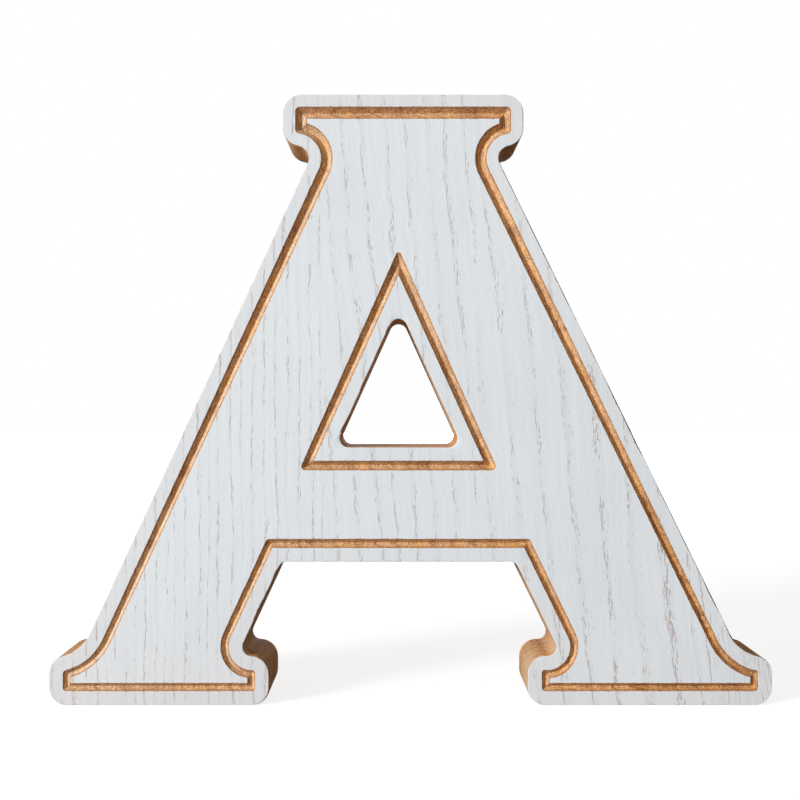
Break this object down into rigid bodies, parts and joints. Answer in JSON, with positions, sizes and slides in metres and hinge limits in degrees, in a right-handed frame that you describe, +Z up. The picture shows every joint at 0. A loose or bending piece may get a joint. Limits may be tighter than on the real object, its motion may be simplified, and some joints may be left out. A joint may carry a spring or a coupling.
{
  "type": "wooden letter",
  "caption": "Free-standing slab-serif capital A cut from a glued panel of solid wood, painted on its face, with a V-groove line through the paint along its outline and round its counter.",
  "frame": {"origin": "on the surface the letter stands on, midway between the outer ends of the two feet and midway through the thickness", "axes": "+Z up the letter, +X to the right as the letter is read, -Y out of the painted face"},
  "size_m": [0.237, 0.03, 0.2],
  "materials": {
    "stave_wood": "oiled ring-porous hardwood, sanded, with cutter marks in the grooves",
    "face_paint": "thin cool grey-white brushed paint with the wood's pores showing through"
  },
  "bodies": {
    "root": {"stave_left_2": "stave_wood", "stave_left_1": "stave_wood", "stave_middle": "stave_wood", "stave_right_1": "stave_wood", "stave_right_2": "stave_wood", "paint_border": "face_paint", "paint_field": "face_paint", "paint_counter_band": "face_paint"}
  },
  "joints": []
}
